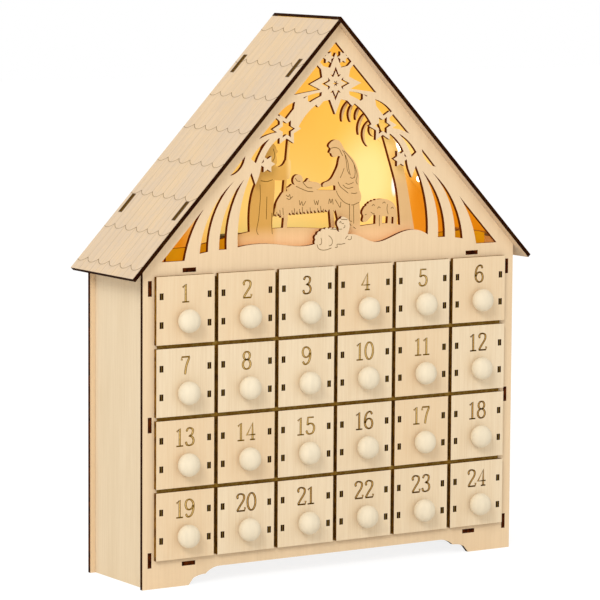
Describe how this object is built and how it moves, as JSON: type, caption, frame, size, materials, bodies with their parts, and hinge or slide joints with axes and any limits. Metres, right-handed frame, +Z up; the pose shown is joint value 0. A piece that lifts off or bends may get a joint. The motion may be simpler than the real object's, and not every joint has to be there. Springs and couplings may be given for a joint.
{
  "type": "wooden advent calendar",
  "caption": "Gabled plywood house that counts down to Christmas, with rows of small numbered drawers below and a fretwork nativity scene lit from behind in the gable.",
  "frame": {"origin": "on the floor, under the middle of the overall box from knob tips to the roof's back edge", "axes": "+Z up, -Y to the front where the drawers pull out, +X to the right seen from the front"},
  "size_m": [0.3488, 0.0992, 0.4078],
  "materials": {
    "birch_ply": "bare pale plywood with dark laser-cut edges",
    "lamp_board": "matte",
    "lamp_lens": "clear, warm white",
    "battery_plastic": "matte black",
    "switch_plastic": "matte black",
    "cell_metal": "satin",
    "contact_metal": "plated"
  },
  "bodies": {
    "house": {"front_panel": "birch_ply", "back_panel": "birch_ply", "left_side": "birch_ply", "right_side": "birch_ply", "base_board": "birch_ply", "attic_floor": "birch_ply", "drawer_shelves": "birch_ply", "drawer_uprights": "birch_ply", "left_roof": "birch_ply", "right_roof": "birch_ply", "figure_sheet": "birch_ply", "lamp_strips": "lamp_board", "lamps": "lamp_lens", "battery_box": "battery_plastic", "battery_cells": "cell_metal", "battery_contacts": "contact_metal"},
    "battery_cover": {"battery_cover": "battery_plastic"},
    "switch_slider": {"switch_slider": "switch_plastic"},
    "drawer_01": {"drawer_01": "birch_ply"},
    "drawer_02": {"drawer_02": "birch_ply"},
    "drawer_03": {"drawer_03": "birch_ply"},
    "drawer_04": {"drawer_04": "birch_ply"},
    "drawer_05": {"drawer_05": "birch_ply"},
    "drawer_06": {"drawer_06": "birch_ply"},
    "drawer_07": {"drawer_07": "birch_ply"},
    "drawer_08": {"drawer_08": "birch_ply"},
    "drawer_09": {"drawer_09": "birch_ply"},
    "drawer_10": {"drawer_10": "birch_ply"},
    "drawer_11": {"drawer_11": "birch_ply"},
    "drawer_12": {"drawer_12": "birch_ply"},
    "drawer_13": {"drawer_13": "birch_ply"},
    "drawer_14": {"drawer_14": "birch_ply"},
    "drawer_15": {"drawer_15": "birch_ply"},
    "drawer_16": {"drawer_16": "birch_ply"},
    "drawer_17": {"drawer_17": "birch_ply"},
    "drawer_18": {"drawer_18": "birch_ply"},
    "drawer_19": {"drawer_19": "birch_ply"},
    "drawer_20": {"drawer_20": "birch_ply"},
    "drawer_21": {"drawer_21": "birch_ply"},
    "drawer_22": {"drawer_22": "birch_ply"},
    "drawer_23": {"drawer_23": "birch_ply"},
    "drawer_24": {"drawer_24": "birch_ply"}
  },
  "joints": [
    {"name": "drawer_01_slide", "type": "slide", "parent": "house", "child": "drawer_01", "axis": [0, -1, 0], "range_m": [0, 0.07]},
    {"name": "drawer_02_slide", "type": "slide", "parent": "house", "child": "drawer_02", "axis": [0, -1, 0], "range_m": [0, 0.07]},
    {"name": "drawer_03_slide", "type": "slide", "parent": "house", "child": "drawer_03", "axis": [0, -1, 0], "range_m": [0, 0.07]},
    {"name": "drawer_04_slide", "type": "slide", "parent": "house", "child": "drawer_04", "axis": [0, -1, 0], "range_m": [0, 0.07]},
    {"name": "drawer_05_slide", "type": "slide", "parent": "house", "child": "drawer_05", "axis": [0, -1, 0], "range_m": [0, 0.07]},
    {"name": "drawer_06_slide", "type": "slide", "parent": "house", "child": "drawer_06", "axis": [0, -1, 0], "range_m": [0, 0.07]},
    {"name": "drawer_07_slide", "type": "slide", "parent": "house", "child": "drawer_07", "axis": [0, -1, 0], "range_m": [0, 0.07]},
    {"name": "drawer_08_slide", "type": "slide", "parent": "house", "child": "drawer_08", "axis": [0, -1, 0], "range_m": [0, 0.07]},
    {"name": "drawer_09_slide", "type": "slide", "parent": "house", "child": "drawer_09", "axis": [0, -1, 0], "range_m": [0, 0.07]},
    {"name": "drawer_10_slide", "type": "slide", "parent": "house", "child": "drawer_10", "axis": [0, -1, 0], "range_m": [0, 0.07]},
    {"name": "drawer_11_slide", "type": "slide", "parent": "house", "child": "drawer_11", "axis": [0, -1, 0], "range_m": [0, 0.07]},
    {"name": "drawer_12_slide", "type": "slide", "parent": "house", "child": "drawer_12", "axis": [0, -1, 0], "range_m": [0, 0.07]},
    {"name": "drawer_13_slide", "type": "slide", "parent": "house", "child": "drawer_13", "axis": [0, -1, 0], "range_m": [0, 0.07]},
    {"name": "drawer_14_slide", "type": "slide", "parent": "house", "child": "drawer_14", "axis": [0, -1, 0], "range_m": [0, 0.07]},
    {"name": "drawer_15_slide", "type": "slide", "parent": "house", "child": "drawer_15", "axis": [0, -1, 0], "range_m": [0, 0.07]},
    {"name": "drawer_16_slide", "type": "slide", "parent": "house", "child": "drawer_16", "axis": [0, -1, 0], "range_m": [0, 0.07]},
    {"name": "drawer_17_slide", "type": "slide", "parent": "house", "child": "drawer_17", "axis": [0, -1, 0], "range_m": [0, 0.07]},
    {"name": "drawer_18_slide", "type": "slide", "parent": "house", "child": "drawer_18", "axis": [0, -1, 0], "range_m": [0, 0.07]},
    {"name": "drawer_19_slide", "type": "slide", "parent": "house", "child": "drawer_19", "axis": [0, -1, 0], "range_m": [0, 0.07]},
    {"name": "drawer_20_slide", "type": "slide", "parent": "house", "child": "drawer_20", "axis": [0, -1, 0], "range_m": [0, 0.07]},
    {"name": "drawer_21_slide", "type": "slide", "parent": "house", "child": "drawer_21", "axis": [0, -1, 0], "range_m": [0, 0.07]},
    {"name": "drawer_22_slide", "type": "slide", "parent": "house", "child": "drawer_22", "axis": [0, -1, 0], "range_m": [0, 0.07]},
    {"name": "drawer_23_slide", "type": "slide", "parent": "house", "child": "drawer_23", "axis": [0, -1, 0], "range_m": [0, 0.07]},
    {"name": "drawer_24_slide", "type": "slide", "parent": "house", "child": "drawer_24", "axis": [0, -1, 0], "range_m": [0, 0.07]},
    {"name": "battery_cover_pull", "type": "slide", "parent": "house", "child": "battery_cover", "axis": [0, 1, 0], "range_m": [0, 0.02]},
    {"name": "switch_slide", "type": "slide", "parent": "house", "child": "switch_slider", "axis": [1, 0, 0], "range_m": [0, 0.004]}
  ]
}
